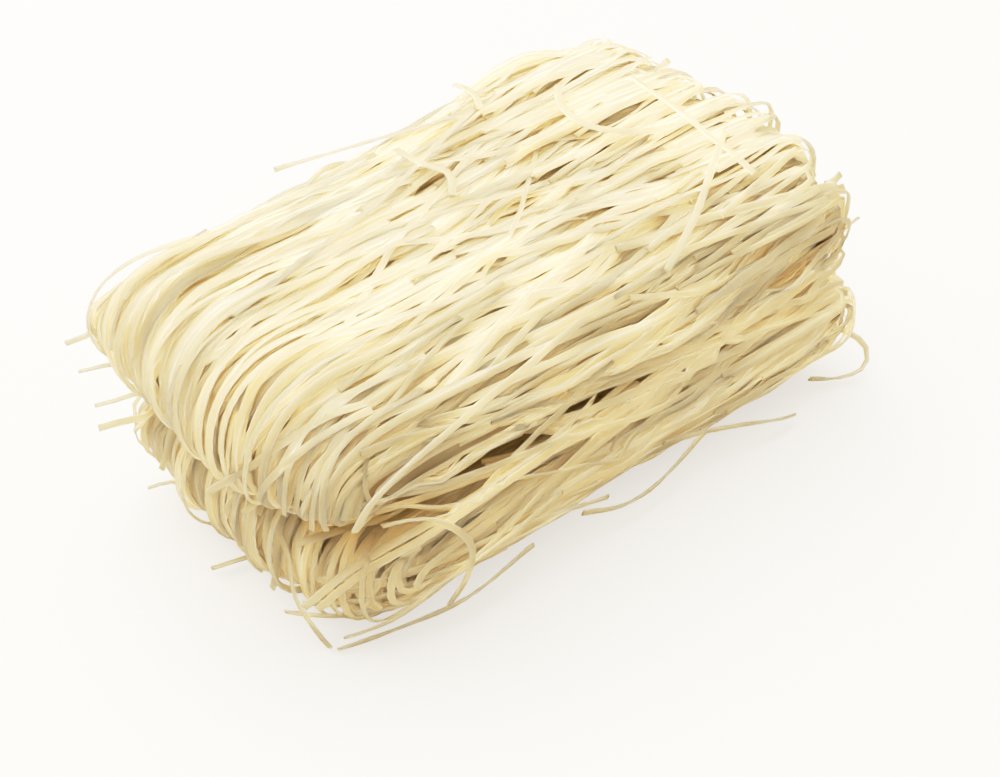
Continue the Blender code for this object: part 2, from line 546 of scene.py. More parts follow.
def lowest_row(pile, column, drift, width, over):
    """The strand's rows along its columns, at the lowest of a few tries, or passing over a given place."""
    rows = pile["points"].shape[1]
    widest = rows - 1 - 2 * ROW_MARGIN
    room = widest - (drift.max() - drift.min())
    if room < 2:
        drift *= (widest - 2) / (drift.max() - drift.min())
        room = 2
    candidates = pile["rng"].uniform(0, room, TRIES) - drift.min() + ROW_MARGIN
    if over:
        here = np.argmin(np.abs(column - over[0]))
        candidates = [over[1] - drift[here] - flow(pile, column[here], over[1]) / ROW_STEP]
    best = None
    for candidate in candidates:
        row = candidate + drift
        row = np.clip(row + flow(pile, column, row) / ROW_STEP, ROW_MARGIN, rows - 1 - ROW_MARGIN)
        ground = under(pile, column[::3], row[::3], width)[0]
        score = low_and_flat(ground)
        if best is None or score < best[0]:
            best = (score, row)
    return best[1]


# %% Laying a bunch
LIFTED_END = 30
SUNK_END = 16


def lay_bunch(pile, start, length, looseness, count=1, lift=0.0, reach=(0, 0), over=None):
    """Lays count strands side by side from column start.

    lift raises the strand's ends, or sinks them if it is below 0, and reach carries them straight on, in
    mm. over is a (column, row) that the strand must pass over.
    """
    rng = pile["rng"]
    rows = pile["points"].shape[1]
    column = start + np.arange(0, length, 1 / FINE)
    distance = (column - start) * COLUMN_STEP
    drift = wander(rng, distance, looseness) / ROW_STEP
    widths = strand_widths(rng, count)
    row = lowest_row(pile, column, drift, widths.sum(), over) - widths.sum() / ROW_STEP / 2
    from_end = np.minimum(distance, distance[-1] - distance)
    extra = lift * np.clip(1 - from_end / (LIFTED_END if lift > 0 else SUNK_END), 0, 1) ** 2
    for width in widths:
        spread = row_spread(pile, column, row)
        own = np.clip(row + width / 2 / spread + rng.normal(0, 0.12), 1, rows - 2)
        thickness = NOODLE_THICKNESS * rng.uniform(0.85, 1.15)
        roll = rng.normal(0, 0.16) + 0.16 * np.sin(distance / rng.uniform(12, 40) + rng.uniform(0, 6.3))
        level, tilt = lay(pile, column, own, width, thickness, roll, extra)
        pile["strands"].append(dict(
            column=column, row=own, level=level, tilt=tilt, width=width, thickness=thickness,
            reach=np.maximum(rng.normal(reach, 3), 0) if max(reach) else (0, 0)))
        row = row + width * 1.03 / spread


# %% [markdown]
# ## Fill both pillows
#
# A pillow is packed in three rounds. The first is never seen and becomes the core. The second shows only
# in the gaps. The third is the outside, where strands lie looser. Most strands go all the way round or
# run from tail to tail over the fold, and a few are short. At the end, some strands are laid straight
# over the deepest hollows that are left.

# %% Filling a pile
def fill(pile, until, slants, odds, whole, counts=(0.5, 0.35, 0.15), kept=True):
    """Lays strands until the ground's mean height above the sleeve is until.

    slants are the likely sideways slopes, and whole is the share of strands that go all the way round.
    """
    rng = pile["rng"]
    columns = pile["points"].shape[0]
    before = len(pile["strands"])
    while pile["ground"].mean() < until:
        kind = rng.random()
        count = rng.choice([1, 2, 3], p=counts)
        looseness = pile["looseness"] * rng.choice(slants, p=odds)
        if kind < 0.6 * whole:
            start = rng.uniform(-6, 6)
            length = pile["ends"][3] - start + rng.uniform(-6, 6)
            lay_bunch(pile, start, length, looseness, count=count, reach=(4, 4))
        elif kind < whole:
            start = rng.uniform(0, columns)
            length = columns * rng.uniform(0.7, 1.2)
            lay_bunch(pile, start, length, looseness, count=count)
        else:
            start = rng.uniform(0, columns)
            length = rng.uniform(45, 90)
            lift = rng.choice([rng.uniform(-3.5, -2.0), rng.uniform(0, 2.5)], p=[0.85, 0.15])
            lay_bunch(pile, start, length, looseness, count=count, lift=lift)
    laid = pile["strands"][before:]
    if not kept:
        pile["strands"] = []
    print(len(laid), "strands; ground at", np.round(np.percentile(pile["ground"], (5, 50, 95)), 1))
    return len(laid)


def mend(pile, count):
    """Lays strands over the deepest hollows, one after the other."""
    rng = pile["rng"]
    margin = int((ROW_MARGIN + 1) * FINE)
    for _ in range(count):
        ground = pile["ground"]
        for axis in (0, 1):
            ground = sum(np.roll(ground, shift, axis) for shift in range(-2, 3)) / 5
        inside = ground[:, margin:-margin]
        column, row = np.unravel_index(np.argmin(inside), inside.shape)
        column, row = column / FINE, (row + margin) / FINE
        length = rng.uniform(50, 100)
        start = column - length * rng.uniform(0.2, 0.8)
        lay_bunch(pile, start, length, pile["looseness"] * 0.06, lift=-3.0, over=(column, row))
    print("mended; ground at", np.round(np.percentile(pile["ground"], (0, 1, 5, 50, 95)), 1))


# %% Fill both pillows
HIDDEN = dict(until=-4.6, slants=(0.03, 0.08), odds=(0.6, 0.4), whole=0.9, kept=False)
INSIDE = dict(until=-2.4, slants=(0.03, 0.08, 0.15), odds=(0.5, 0.3, 0.2), whole=0.9)
OUTSIDE = dict(until=-1.1, slants=(0.05, 0.13, 0.24), odds=(0.35, 0.4, 0.25), whole=0.9,
               counts=(0.65, 0.3, 0.05))
MENDS = 50

for pile in (upper, lower):
    fill(pile, **HIDDEN)
    pile["core"] = pile["ground"].copy()
    inner = fill(pile, **INSIDE)
    fill(pile, **OUTSIDE)
    mend(pile, MENDS)
    for number, strand in enumerate(pile["strands"]):
        strand["inner"] = number < inner

# %% [markdown]
# ## Only what can be seen
#
# A laid strand is still just numbers over a sleeve, and most of its length ends up under others. Making
# all of it would waste most of the mesh, so each strand is turned into points in space and cut into the
# runs that lie near the surface. Where a run goes deep, and in the groove between the pillows, it is
# painted amber: painted shade for the dim warm light among the strands.

# %% Strands in space
ONWARD_STEP = 3.0


def smooth_path(points, times):
    """Each coordinate of a path, smoothed."""
    return np.stack([smooth(values, times) for values in points.T], axis=1)


def onwards(rng, points, reach):
    """Points that carry a path straight on past its last point by reach mm, with a slight bend."""
    ahead = unit(points[-1] - points[-4])
    bend = rng.normal(0, 0.06, 3)
    more = []
    point = points[-1]
    for _ in range(int(round(reach / ONWARD_STEP))):
        ahead = unit(ahead + bend)
        point = point + ONWARD_STEP * ahead
        more.append(point)
    return np.array(more).reshape(-1, 3)


def in_space(pile, strand):
    """A laid strand as points and flat-side normals, and how deep it is buried, per point."""
    column, row = strand["column"], strand["row"]
    normal = unit(read(pile["normals"], column, row))
    centre = read(pile["points"], column, row) + strand["level"][:, None] * normal
    sideways = unit(read(pile["points"], column, row + 0.5) - read(pile["points"], column, row - 0.5))
    facing = unit(normal - strand["tilt"][:, None] * sideways)
    top = under(pile, column, row, strand["width"])[0].mean(axis=1)
    return smooth_path(centre, 2), facing, top - strand["level"]


def pick(pile, column):
    """Which points to keep: close together in the turns, wider apart on the straights."""
    ends = pile["ends"]
    step = np.arange(len(column))
    where = column % pile["points"].shape[0]
    turning = ((where > ends[0] - 4) & (where < ends[2] + 4)) | (where > ends[3] - 4)
    keep = (step % 3 == 0) & ~turning | (step % 2 == 0) & turning
    keep[0] = keep[-1] = True
    return keep


# %% What lies deep
BURIED = 4.5
INNER_MARGIN = 22
GROOVE_HEIGHT = 0.49 * HEIGHT
UNSEEN_HEIGHT = 9


def groove_shade(points):
    """How much amber shade is painted on points in the groove between the pillows along both sides, from 0 to
    1: the deeper they lie in it, the more.
    """
    from_side = WIDTH / 2 - np.abs(points[:, 1])
    from_end = LENGTH / 2 - np.abs(points[:, 0])
    from_groove = np.abs(points[:, 2] - GROOVE_HEIGHT)
    inside = np.clip((from_side - 4) / 7, 0, 1) * np.clip((from_end - 10) / 10, 0, 1)
    return inside * np.clip(1.6 - from_groove / 7, 0, 1)


def between_pillows(points):
    """Whether points lie deep between the two pillows, where nobody sees them."""
    x, y, z = points.T
    inside = (x > low[0] + 34) & (x < high[0] - 30)
    inside &= (y > low[1] + INNER_MARGIN) & (y < high[1] - INNER_MARGIN)
    return inside & (np.abs(z - GROOVE_HEIGHT) < UNSEEN_HEIGHT)


# %% Runs that can be seen
def seen_parts(pile, strand, centre, buried):
    """The strand's kept points as groups that are near the surface, and the last kept point."""
    seen = (buried < BURIED) & ~between_pillows(centre)
    for _ in range(4):
        seen = seen | np.roll(seen, 1) | np.roll(seen, -1)
    index = np.flatnonzero(pick(pile, strand["column"]))
    groups = np.split(index, np.flatnonzero(np.diff(seen[index].astype(int))) + 1)
    return [group for group in groups if len(group) >= 4 and seen[group[0]]], index[-1]


def carry_on(rng, points, facings, buried, reach):
    """The run with its last end carried straight on."""
    more = onwards(rng, points, reach)
    facings = np.concatenate([facings, np.repeat(facings[-1:], len(more), axis=0)])
    return np.concatenate([points, more]), facings, np.concatenate([buried, np.zeros(len(more))])


def runs(pile):
    """The outer and the inner strands' visible runs, each as (points, facings, width, painted shade from 0 to
    1).
    """
    found = [[], []]
    for strand in pile["strands"]:
        centre, facing, buried = in_space(pile, strand)
        parts, last = seen_parts(pile, strand, centre, buried)
        for part in parts:
            run = centre[part], facing[part], buried[part]
            if part[0] == 0 and strand["reach"][0] > 1:
                turned_round = [values[::-1] for values in run]
                longer = carry_on(pile["rng"], *turned_round, strand["reach"][0])
                run = [values[::-1] for values in longer]
            if part[-1] == last and strand["reach"][1] > 1:
                run = carry_on(pile["rng"], *run, strand["reach"][1])
            points, facings, depth = run
            points[:, 2] = np.maximum(points[:, 2], strand["thickness"] / 2)
            # Painted shade: amber where the strand lies deep under others, and more in the groove between the
            # pillows.
            depth = np.maximum(0.2 * np.clip((depth - 0.6) / 2.2, 0, 1), groove_shade(points))
            found[strand["inner"]].append((points, facings, strand["width"], depth))
    print(*(f"{len(group)} runs with {sum(len(run[0]) for run in group)} points;" for group in found))
    return found


upper_runs, lower_runs = runs(upper), runs(lower)

# %% [markdown]
# ## The skin that loose strands lie on
#
# The last strands on the block don't follow one pillow's columns and rows: they slip off its sides, cross
# from one pillow to the other, or stand off. They are drawn as guides in space instead, and draped. Both
# piles together make one skin of places with normals and heights, and each guide reads the nearest ones.

# %% The skin that loose strands lie on
UPPER_ONLY, LOWER_ONLY, EITHER = 0, 1, 2


def search_tree(places, numbers):
    """A tree that finds the nearest of the places with these numbers."""
    tree = KDTree(len(numbers))
    for number in numbers:
        tree.insert(places[number], int(number))
    tree.balance()
    return tree


def skin_of(piles):
    """The outside of all the pillows as one cloud: places, normals, heights and search trees."""
    places = np.concatenate([pile["fine_points"].reshape(-1, 3) for pile in piles])
    normals = np.concatenate([unit(pile["fine_normals"]).reshape(-1, 3) for pile in piles])
    heights = np.concatenate([pile["ground"].ravel() for pile in piles])
    owner = np.concatenate([np.full(pile["ground"].size, i) for i, pile in enumerate(piles)])
    trees = [search_tree(places, np.flatnonzero(owner == i)) for i in range(len(piles))]
    trees.append(search_tree(places, np.flatnonzero(~between_pillows(places))))
    return dict(places=places, normals=normals, heights=heights, trees=trees)


def nearest(points, which=EITHER):
    """The number of the skin's nearest place to each point."""
    find = skin["trees"][which].find
    return np.array([find(point)[1] for point in points.reshape(-1, 3)]).reshape(points.shape[:-1])


def best_of(guides, which=EITHER):
    """The guide under which the ground is lowest and flattest."""
    scores = [low_and_flat(skin["heights"][nearest(guide, which)]) for guide in guides]
    return guides[int(np.argmin(scores))]


skin = skin_of((upper, lower))
upper["which"], lower["which"] = UPPER_ONLY, LOWER_ONLY
print("skin:", len(skin["places"]), "places")

# %% [markdown]
# ## Draping a strand
#
# A draped strand rests on the skin where its guide is low, and leaves it where the guide is clear of it.
# Its flat side lies on what it rests on. Where it leaves the skin at a steep angle the skin's normal is
# no help, and its facing is carried along from the part that rests, as a ribbon would hold it.

# %% Draping a strand
PATH_STEP = 1.25
DIP_LENGTH = 14
NOT_RESTING = -99.0


def steady(facing, centre):
    """Facings square to the path, carried along it where the skin's own normal points down the path."""
    tangent = unit(np.gradient(centre, axis=0))
    square = facing - (facing * tangent).sum(axis=1)[:, None] * tangent
    trust = np.clip((np.linalg.norm(square, axis=1) - 0.5) / 0.4, 0, 1)
    found = unit(square)
    start = int(np.argmax(trust))
    for step, order in ((1, range(start + 1, len(found))), (-1, range(start - 1, -1, -1))):
        for i in order:
            carried = found[i - step] - (found[i - step] @ tangent[i]) * tangent[i]
            own = found[i] if found[i] @ carried > 0 else -found[i]
            found[i] = unit(carried * (1 - trust[i]) + own * trust[i])
    return found


def drape(guide, width, roll, which=EITHER, afloat=True, stiffness=12, dips=(0, 0)):
    """A strand that follows guide and lies on the skin, as (points, facings, width, painted shade from 0 to
    1).

    If afloat, it leaves the skin where the guide is clear of it. dips is how far its two ends sink among
    the strands they lie on, in mm.
    """
    thickness = NOODLE_THICKNESS
    length = np.linalg.norm(np.diff(guide, axis=0), axis=1).sum()
    path = even(guide, max(int(length / PATH_STEP), 8))
    number = nearest(path, which)
    normal = unit(smooth_path(skin["normals"][number], 8))
    base = smooth_path(skin["places"][number], 3)
    over = ((path - base) * normal).sum(axis=1)
    flat = path - over[:, None] * normal
    if not afloat:
        over = np.full(len(path), -DEPTH)
    sideways = unit(np.cross(normal, unit(np.gradient(path, axis=0))))
    offset = ACROSS * width
    under_it = nearest(flat[:, None] + offset[:, None] * sideways[:, None], which)
    ground = skin["heights"][under_it]
    tilt = tilt_on(ground, offset, roll)
    need = rest_on(ground, offset, tilt) + thickness / 2
    level = settle(np.maximum(need, over), stiffness)
    resting = (level - need < AFLOAT)[:, None]
    surface = level[:, None] + tilt[:, None] * offset + (SINK - 0.5) * thickness
    np.maximum.at(skin["heights"], under_it, np.where(resting, surface, NOT_RESTING))
    distance = np.arange(len(path)) * length / len(path)
    for dip, from_end in zip(dips, (distance, distance[::-1])):
        level = level - dip * np.clip(1 - from_end / DIP_LENGTH, 0, 1) ** 2
    centre = smooth_path(flat + level[:, None] * normal, 2)
    centre[:, 2] = np.maximum(centre[:, 2], thickness / 2)
    keep = np.arange(0, len(path), 3)
    facing = steady((normal - tilt[:, None] * sideways)[keep], centre[keep])
    # The last value is the amber shade painted in the groove.
    return centre[keep], facing, width, 0.6 * groove_shade(centre[keep])


def curve_through(points, count=60):
    """A smooth curve through a few points (Catmull-Rom), evenly spaced."""
    points = np.array(points, dtype=float)
    points = np.concatenate([2 * points[:1] - points[1:2], points, 2 * points[-1:] - points[-2:-1]])
    t = np.linspace(0, 1, 12, endpoint=False)[:, None]
    parts = []
    for a, b, c, d in zip(points[:-3], points[1:-2], points[2:-1], points[3:]):
        square, cube = 2 * a - 5 * b + 4 * c - d, 3 * b - a - 3 * c + d
        parts.append(0.5 * (2 * b + (c - a) * t + square * t**2 + cube * t**3))
    parts.append(points[-2:-1])
    return even(np.concatenate(parts), count)


# %% [markdown]
# ## Strands along the sides
#
# A hank's outermost strands slip off its rounded side and dry there, along the block, with their ends
# tucked in. They could be drawn as curves over the side. Here each one takes the lowest of a few paths
# along the seam where the two halves of a sleeve meet, so that together they close it.

# %% Strands along the sides
loose_runs = []
FRONT, BACK = 0, -1


def side_strands(pile, side, count, rng, z_range, rise_along):
    """Strands that run along a side of a pillow, across its seam."""
    first, last = -7, pile["ends"][0] + 6
    seam_row = 0.0 if side == FRONT else pile["points"].shape[1] - 1.0
    made = []
    for _ in range(count):
        span = rng.uniform(0.3, 0.95)
        start = rng.uniform(0, 1 - span)
        share = np.linspace(0, 1, 14)
        column = first + (last - first) * (start + span * share)
        along = read(pile["points"], column, np.full(14, seam_row))
        slope = rng.normal(rise_along, 9)
        bow, phase, waves = rng.normal(0, 3.5), rng.uniform(0, 6), rng.uniform(2.5, 5)
        guides = []
        for rise in rng.uniform(*z_range, 8):
            guide = along.copy()
            guide[:, 2] += rise + slope * (1 - 2 * share) + bow * np.sin(waves * share + phase)
            guides.append(guide)
        width = strand_widths(rng)
        guide = best_of(guides, pile["which"])
        dips = rng.uniform(1.0, 3.0, 2)
        roll, stiffness = rng.normal(0, 0.45), int(rng.uniform(12, 40))
        made.append(drape(guide, width, roll, pile["which"], afloat=False, stiffness=stiffness, dips=dips))
    return made


side_rng = np.random.default_rng(11)
for pile, z_range, rise_along in ((upper, (-9, 13), 2), (lower, (-13, 9), 7)):
    for side in (FRONT, BACK):
        loose_runs += side_strands(pile, side, 32, side_rng, z_range, rise_along)
print(len(loose_runs), "strands along the sides")

# %% [markdown]
# ## Strands across the rest
#
# Some strands cross the others at a slant, and some lie in the last hollows. Both kinds are tried at
# several places, and the lowest is taken: more tries make a better filler, and fewer make a more
# careless one.

# %% Strands across the rest
def wanderers(pile, count, rng, slant, bend, tries, lengths=(70, 230), starts=None):
    """Strands on the pillow that cross the rest at a slant, or fill its hollows if there are many tries."""
    made = []
    columns, rows = pile["points"].shape[:2]
    starts = starts or (-8, columns - 20)
    share = np.linspace(0, 1, 10)
    for _ in range(count):
        length = rng.uniform(*lengths)
        turn, bow, phase = rng.normal(0, slant), rng.normal(0, bend), rng.uniform(0, 6)
        lifts = np.maximum(rng.uniform(-9, 3, 2), 0)
        guides = []
        for _ in range(tries):
            column = rng.uniform(*starts) + share * length / COLUMN_STEP
            aside = share * length * turn + bow * np.sin(4 * share + phase)
            row = rng.uniform(4, rows - 4) + aside / ROW_STEP
            normal = read(pile["normals"], column, row)
            lift = -2 + lifts[0] * np.clip(1 - 6 * share, 0, 1) + lifts[1] * np.clip(6 * share - 5, 0, 1)
            guides.append(curve_through(read(pile["points"], column, row) + lift[:, None] * normal))
        width = strand_widths(rng)
        guide = best_of(guides, pile["which"])
        dips = np.where(lifts > 0, 0, 2.8)
        made.append(drape(guide, width, rng.normal(0, 0.1), pile["which"], dips=dips))
    return made


slant_rng = np.random.default_rng(12)
SHORT_AT_TAIL = dict(slant=0.3, bend=4, tries=4, lengths=(50, 130), starts=(-8, 16))
for pile, count in ((upper, 28), (lower, 26)):
    loose_runs += wanderers(pile, 26, slant_rng, slant=0.04, bend=1.0, tries=36)
    loose_runs += wanderers(pile, count, slant_rng, slant=0.18, bend=2.5, tries=6)
    loose_runs += wanderers(pile, count, slant_rng, **SHORT_AT_TAIL)
print(len(loose_runs), "loose strands with those across the rest")

# %% [markdown]
# ## Turns that stand off
#
# Where strands turn over the ends of a pillow, a few are too long and stand off as arcs with light under
# them. They are the same turn as the sleeve's, lifted most at its middle.

# %% Turns that stand off
def on_pile(pile, column, row, lift):
    """Places at a height above the sleeve."""
    normal = unit(read(pile["normals"], column, row))
    return read(pile["points"], column, row) + np.asarray(lift)[..., None] * normal


def bulging_turns(pile, count, rng, first, last, bulges):
    """Strands that stand off the pillow where they turn round its end, so light shows under them."""
    made = []
    rows = pile["points"].shape[1]
    share = np.linspace(0, 1, 16)
    for _ in range(count):
        start, stop = first - rng.uniform(0, 14), last + rng.uniform(0, 10)
        row = rng.uniform(3, rows - 4) + rng.normal(0, 3) * (share - 0.5)
        row = row + rng.normal(0, 1.5) * np.sin(5 * share + rng.uniform(0, 6))
        lift = rng.uniform(*bulges) * np.sin(np.pi * share) ** 3
        guide = on_pile(pile, start + share * (stop - start), np.clip(row, 1, rows - 2), lift - 0.5)
        made.append(drape(curve_through(guide), strand_widths(rng), rng.normal(0, 0.2), pile["which"]))
    return made


turn_rng = np.random.default_rng(13)
for pile in (upper, lower):
    fold_turn = (pile["ends"][0] - 14, pile["ends"][2] + 8)
    tail_turn = (pile["ends"][3] - 10, len(pile["points"]) + 10)
    loose_runs += bulging_turns(pile, 26, turn_rng, *fold_turn, (0.5, 6.0))
    loose_runs += bulging_turns(pile, 26, turn_rng, *tail_turn, (0.5, 5.0))
print(len(loose_runs), "loose strands with the turns that stand off")

# %% [markdown]
# ## Hairpins
#
# At the far end some strands turn straight back on top of the pillow, in loops 3 to 12 mm wide. A hairpin
# is two straight legs joined by half a circle, laid flat on the pile.

# %% Hairpins
def hairpins(pile, count, rng):
    """Strands that turn back in a narrow loop at the far end."""
    made = []
    rows = pile["points"].shape[1]
    turn = np.linspace(-np.pi / 2, np.pi / 2, 9)
    outwards = np.array([0.3, 0.6, 1])
    for _ in range(count):
        gap, tip, rise = rng.uniform(3, 12), rng.uniform(-6, 2), rng.uniform(-0.5, 4.5)
        back, forth = rng.uniform(15, 80, 2)[:, None] * outwards
        opening = rng.normal(0, 0.08, 2)
        along = np.concatenate([back[::-1], -gap / 2 * np.cos(turn), forth])
        aside = gap / 2 * np.sin(turn)
        aside = np.concatenate([-gap / 2 - opening[0] * back[::-1], aside, gap / 2 + opening[1] * forth])
        row = np.clip(rng.uniform(6, rows - 6) + aside / ROW_STEP, 1, rows - 2)
        lift = rise * np.exp(-(along / 14) ** 2)
        guide = curve_through(on_pile(pile, tip + along / COLUMN_STEP, row, lift), 90)
        made.append(drape(guide, strand_widths(rng), rng.normal(0, 0.3), pile["which"], dips=(2, 2)))
    return made


hairpin_rng = np.random.default_rng(14)
for pile in (upper, lower):
    loose_runs += hairpins(pile, 26, hairpin_rng)
print(len(loose_runs), "loose strands with the hairpins")

# %% [markdown]
# ## Cut ends that stand out
#
# The hank is cut and broken at the far end, so straight ends stick out there, and a few at the fold. Each
# is a strand of the pile that goes on in its own direction when the pillow curves away under it.

# %% Cut ends that stand out
TOWARDS_TAIL, TOWARDS_FOLD = -1, 1


def flyaways(pile, count, rng, ends, way, reach):
    """Cut ends that leave the pillow between two columns and stand out straight."""
    made = []
    rows = pile["points"].shape[1]
    for _ in range(count):
        stop = rng.uniform(*ends)
        column = stop - way * np.linspace(rng.uniform(20, 70), 0, 9) / COLUMN_STEP
        row = rng.uniform(3, rows - 4) + rng.normal(0, 2) * np.linspace(-1, 1, 9)
        guide = on_pile(pile, column, np.clip(row, 1, rows - 2), np.zeros(9))
        guide = np.concatenate([guide, onwards(rng, guide, rng.uniform(*reach))])
        guide = curve_through(guide)
        made.append(drape(guide, strand_widths(rng), rng.normal(0, 0.3), pile["which"], stiffness=8))
    return made


end_rng = np.random.default_rng(15)
for pile in (upper, lower):
    fold_start, fold_middle, underside_end = pile["ends"][0], pile["ends"][1], pile["ends"][3]
    at_tail = (underside_end - 1, underside_end + 4)
    at_fold = (fold_start, fold_middle + 4)
    loose_runs += flyaways(pile, 44, end_rng, (-4, 1), TOWARDS_TAIL, (3, 11))
    loose_runs += flyaways(pile, 16, end_rng, at_tail, TOWARDS_FOLD, (3, 10))
    loose_runs += flyaways(pile, 12, end_rng, at_fold, TOWARDS_FOLD, (3, 9))
print(len(loose_runs), "loose strands with the cut ends")

# %% [markdown]
# ## A curtain at the far end
#
# Strands of the upper pillow's far end hang down over the gap onto the lower pillow. They hide the gap, as
# on the real block, where the two far ends look like one ragged face.

# %% A curtain at the far end
def curtain(count, rng):
    """Strands that hang down the far end, from the upper pillow past the gap onto the lower one."""
    made = []
    share = np.linspace(0, 1, 7)
    for _ in range(count):
        y = rng.uniform(low[1] + 8, high[1] - 8)
        upmost, lowest = rng.uniform(55, HEIGHT - 6), rng.uniform(6, 34)
        x = high[0] - 2 - 8 * (y - low[1]) / WIDTH + rng.uniform(-2.0, 2.0)
        x = x + rng.uniform(0, 2) * np.sin(np.pi * share)
        sway = rng.normal(0, 7) * (share - 0.5) + rng.normal(0, 2) * np.sin(4 * share)
        guide = np.stack([x, y + sway, upmost + (lowest - upmost) * share], axis=1)
        if upmost > HEIGHT - 14:
            arrival = [(high[0] - 45, y + sway[0], HEIGHT - 2), (high[0] - 18, y + sway[0], HEIGHT - 3)]
            guide = np.concatenate([arrival, guide])
        made.append(drape(curve_through(guide), strand_widths(rng), rng.normal(0, 0.2), stiffness=24))
    return made


curtain_rng = np.random.default_rng(17)
loose_runs += curtain(34, curtain_rng)
print(len(loose_runs), "loose strands with the curtain")

# %% [markdown]
# ## Strands across the groove
#
# Along both sides the pillows leave a groove between them, dark inside, and amber shade is painted on the
# strands there. Long strands cross it at a slant, because they were pulled down when the hank was folded.
# They float over the groove with their flat sides out, so their facings are set here and not taken from
# the skin in its depth.

# %% Strands across the groove
def bridges(count, side, rng, x_middle):
    """Long strands that cross the groove at a slant. side is -1 for the front, 1 for the back."""
    made = []
    share = np.array([-0.12, 0, 0.2, 0.5, 0.8, 1, 1.12])
    for _ in range(count):
        run = rng.choice([1, -1], p=[0.7, 0.3]) * rng.uniform(50, 140)
        top, bottom = rng.uniform(46, 62), rng.uniform(26, 42)
        x = rng.uniform(*x_middle) - run * (share - 0.5)
        tucked_in = 60 * np.maximum(np.abs(share - 0.5) - 0.45, 0)
        y = side * (WIDTH / 2 - rng.uniform(1, 5) - tucked_in)
        z = top + (bottom - top) * share + rng.normal(0, 0.8, len(share))
        guide = curve_through(np.stack([np.clip(x, low[0] + 14, high[0] - 6), y, z], axis=1))
        # depth here is the amber shade painted in the groove.
        centre, _, width, depth = drape(guide, strand_widths(rng), 0, stiffness=10)
        facing = np.array([0, side, rng.normal(0.2, 0.35)]) + rng.normal(0, 0.1, (len(centre), 1)) * ALONG_X
        made.append((centre, steady(smooth_path(facing, 4), centre), width, depth))
    return made


bridge_rng = np.random.default_rng(18)
loose_runs += bridges(27, -1, bridge_rng, (-40, 80)) + bridges(20, 1, bridge_rng, (-60, 70))
print(len(loose_runs), "loose strands with those across the groove")

# %% [markdown]
# ## Strands placed one by one
#
# Chance can't place the strands that catch the eye: the double band over the gap at the front, the big
# loop at the far corner, the hooks on top and the stray ends on the table. Each is a few points in mm,
# joined by a smooth curve and draped like the rest, so that it rests on the strands below it.

# %% Strands placed one by one
HAND_WIDTH, HAND_ROLL = 2.2, 0.1


def chosen(*points):
    """A strand through listed points, in mm."""
    return drape(curve_through(points), HAND_WIDTH, HAND_ROLL, stiffness=4)


OVER_THE_FRONT_GAP = [
    [(16, -50, 44), (-10, -53, 45), (-31, -55, 45), (-66, -54, 42), (-86, -47, 34), (-100, -39, 20)],
    [(8, -50, 42), (-20, -54, 42), (-45, -56, 42), (-68, -55, 39), (-86, -48, 31), (-97, -42, 20)],
    [(-30, -52, 52), (-61, -44, 49), (-78, -34, 46), (-94, -25, 44)],
    [(-50, -50, 47), (-71, -46, 44), (-83, -39, 40), (-95, -31, 36)],
    [(-70, -20, 45), (-84, -17, 44), (-93, -15, 41), (-101, -15, 39)],
    [(-30, -57, 14), (-55, -57, 9), (-75, -51, 6), (-92, -42, 1)],
    [(-88, -20, 30), (-97, -32, 20), (-95, -37, 10), (-92, -41, 1)],
    [(-80, -50, 47), (-67, -55, 45), (-58, -58, 36), (-55, -59, 28), (-57, -59, 20), (-63, -57, 10)],
    [(-96, -34, 16), (-84, -47, 21), (-66, -54, 22), (-40, -56, 19), (-10, -56, 17)],
    [(-98, -28, 10), (-88, -44, 14), (-70, -54, 17), (-45, -57, 22), (-20, -56, 26)],
    [(-94, -38, 27), (-80, -50, 27), (-60, -55, 26), (-35, -55, 22), (0, -57, 14)],
    [(-90, -44, 6), (-78, -52, 12), (-62, -56, 19), (-40, -56, 25), (-22, -54, 30)],
]
STRAYS_ON_THE_TABLE = [
    [(41, -55, 15), (28, -57, 11), (15, -58, 8), (2, -58, 9), (-12, -56, 14)],
    [(23, -54, 19), (40, -56, 15), (54, -58, 11), (66, -60, 7), (75, -60, 4)],
    [(88, -44, 22), (98, -46, 20), (107, -51, 14), (111, -56, 9), (107, -59, 4), (97, -55, 3), (88, -52, 7)],
]
ON_TOP = [
    [(27, 34, 90), (8, 27, 91), (-20, 18, 90), (-60, 10, 88), (-85, 6, 83)],
    [(-3, 34, 90), (-3, 22, 91), (0, 13, 91), (-8, 3, 90)],
    [(54, 26, 91), (45, 15, 93), (44, 2, 93), (54, -9, 92), (68, -13, 90)],
    [(74, 16, 90), (71, -9, 91), (69, -42, 87)],
    [(76, -22, 88), (60, -33, 89), (41, -45, 87), (22, -52, 79)],
]
OFF_THE_BACK_AND_THE_FOLD = [
    [(28, 36, 87), (8, 45, 85), (-8, 53, 82), (-27, 62, 79)],
    [(30, 34, 88), (35, 42, 88), (36, 53, 86)],
    [(-84, 44, 70), (-97, 50, 64), (-108, 56, 60)],
    [(-86, 40, 57), (-97, 46, 54), (-108, 52, 52)],
    [(-76, -42, 83), (-96, -27, 67), (-105, -15, 54), (-107, -9, 47)],
    [(-76, -44, 82), (-93, -33, 67), (-98, -26, 55), (-96, -22, 45)],
    [(-80, 40, 42), (-92, 45, 40), (-105, 50, 39)],
    [(-86, 40, 32), (-96, 44, 33), (-107, 49, 32)],
    [(-82, 30, 14), (-90, 33, 14), (-99, 37, 12)],
    [(-72, -2, 4), (-86, 1, 4), (-101, 6, 3)],
]
for strands in (OVER_THE_FRONT_GAP, STRAYS_ON_THE_TABLE, ON_TOP, OFF_THE_BACK_AND_THE_FOLD):
    loose_runs += [chosen(*strand) for strand in strands]
print(len(loose_runs), "loose strands,", sum(len(run[0]) for run in loose_runs), "points")
